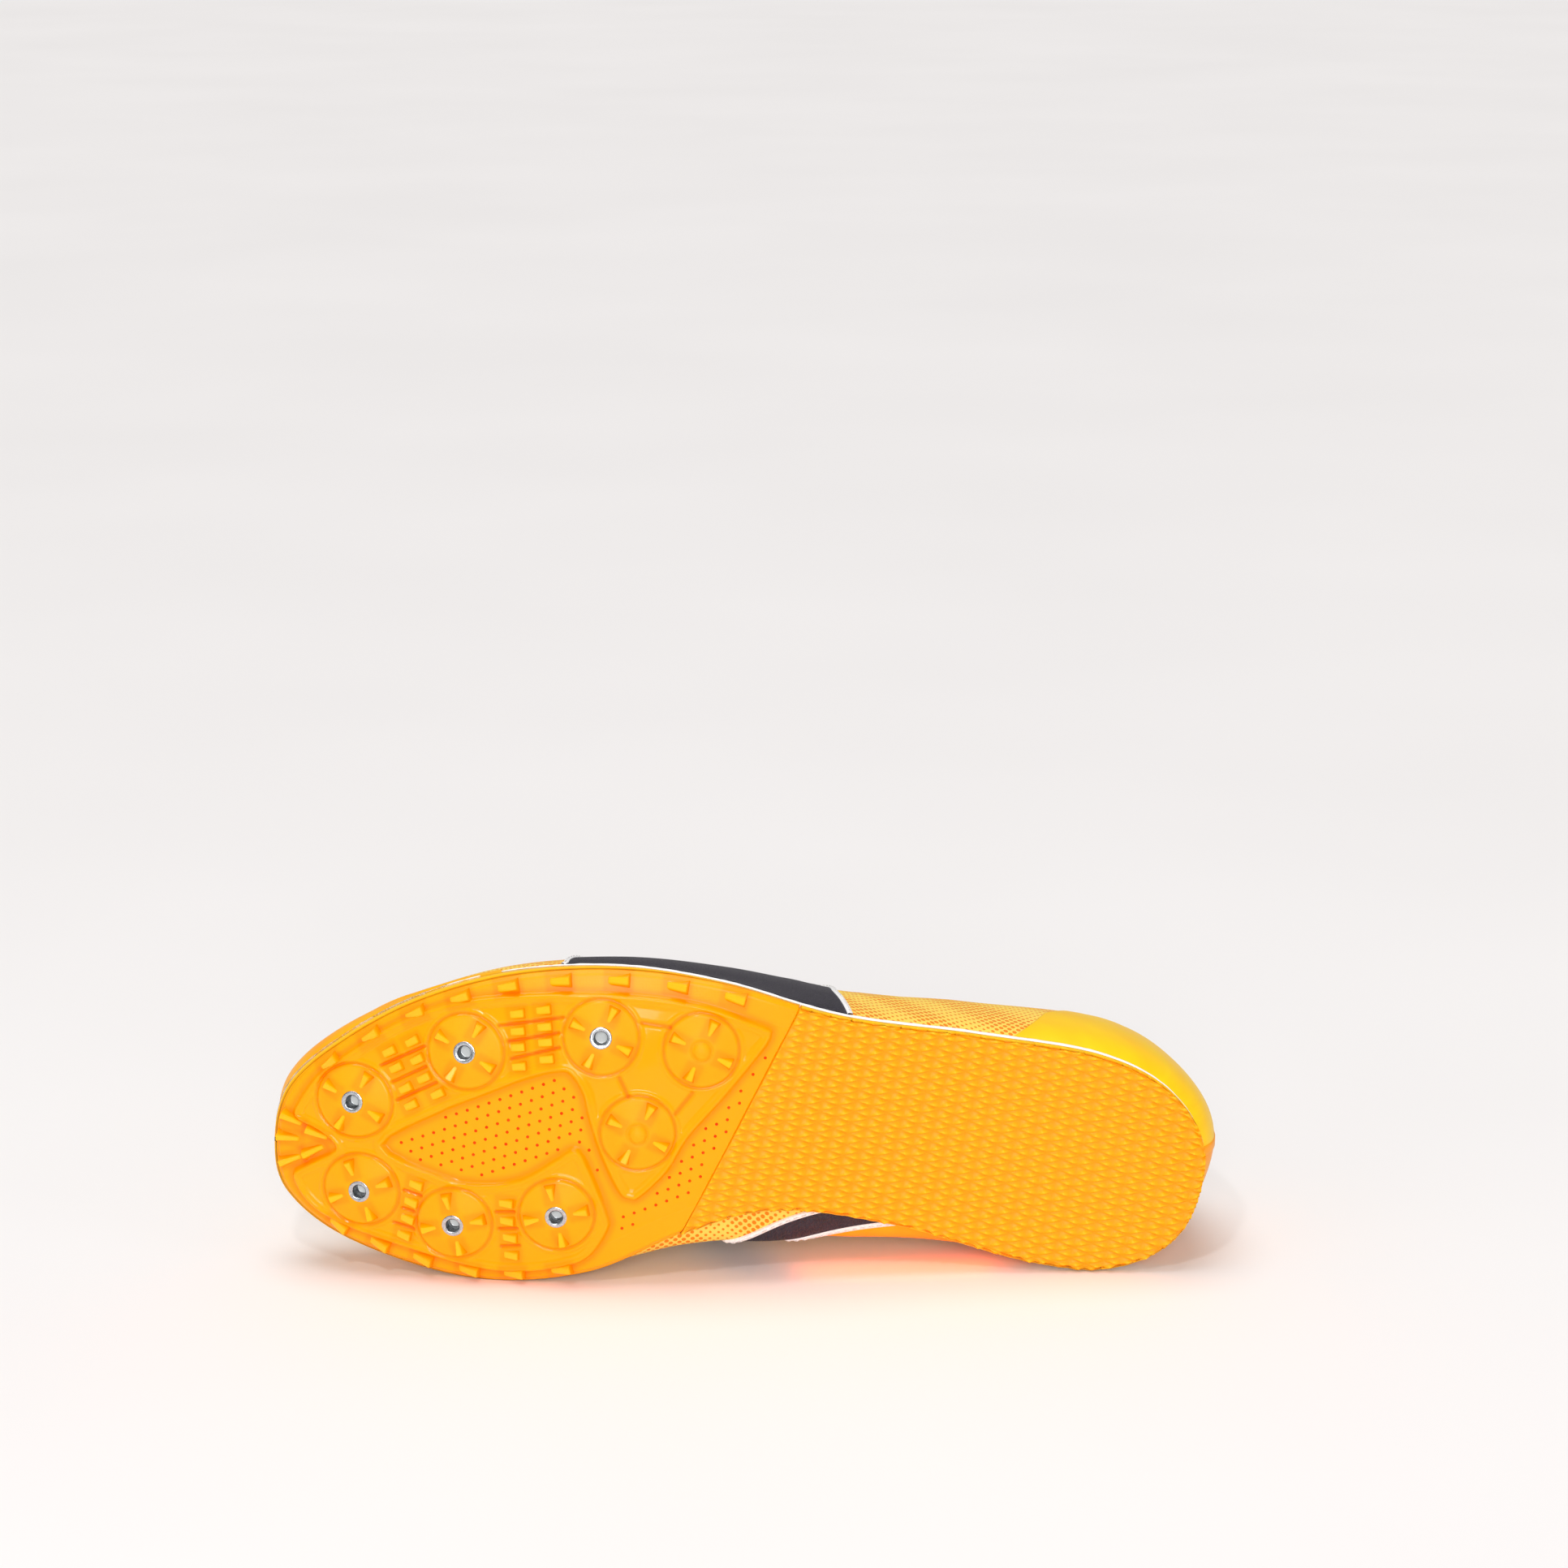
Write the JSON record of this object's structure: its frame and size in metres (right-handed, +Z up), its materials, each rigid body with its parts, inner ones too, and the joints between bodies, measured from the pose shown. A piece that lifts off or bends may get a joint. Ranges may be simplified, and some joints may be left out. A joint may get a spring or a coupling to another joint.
{
  "type": "track spike shoe",
  "caption": "Low-cut running shoe for the track, with a stiff forefoot plate that takes screw-in spikes, a textured heel tread and a thin laced mesh upper",
  "frame": {"origin": "centre of the footprint's bounding box, on the floor that the shoe lies on", "axes": "+X from toe to heel along the shoe as it lies on its medial side, +Y away from the outsole into the shoe, +Z up towards the lateral side"},
  "size_m": [0.2918, 0.0964, 0.0992],
  "materials": {
    "plate": "glossy moulded plate, orange-yellow",
    "tread": "textured tread, orange-yellow",
    "foam": "white foam, matt",
    "shell": "coated engineered mesh, yellow",
    "lining": "knitted lining, yellow",
    "metal": "turned steel",
    "cord": "woven flat lace, white"
  },
  "bodies": {
    "root": {"spike_plate": "plate", "heel_tread": "tread", "midsole": "foam", "upper": "shell", "tongue": "lining", "insole": "lining", "lace": "cord", "spike_socket_1": "metal", "spike_socket_2": "metal", "spike_socket_3": "metal", "spike_socket_4": "metal", "spike_socket_5": "metal", "spike_socket_6": "metal"}
  },
  "joints": []
}
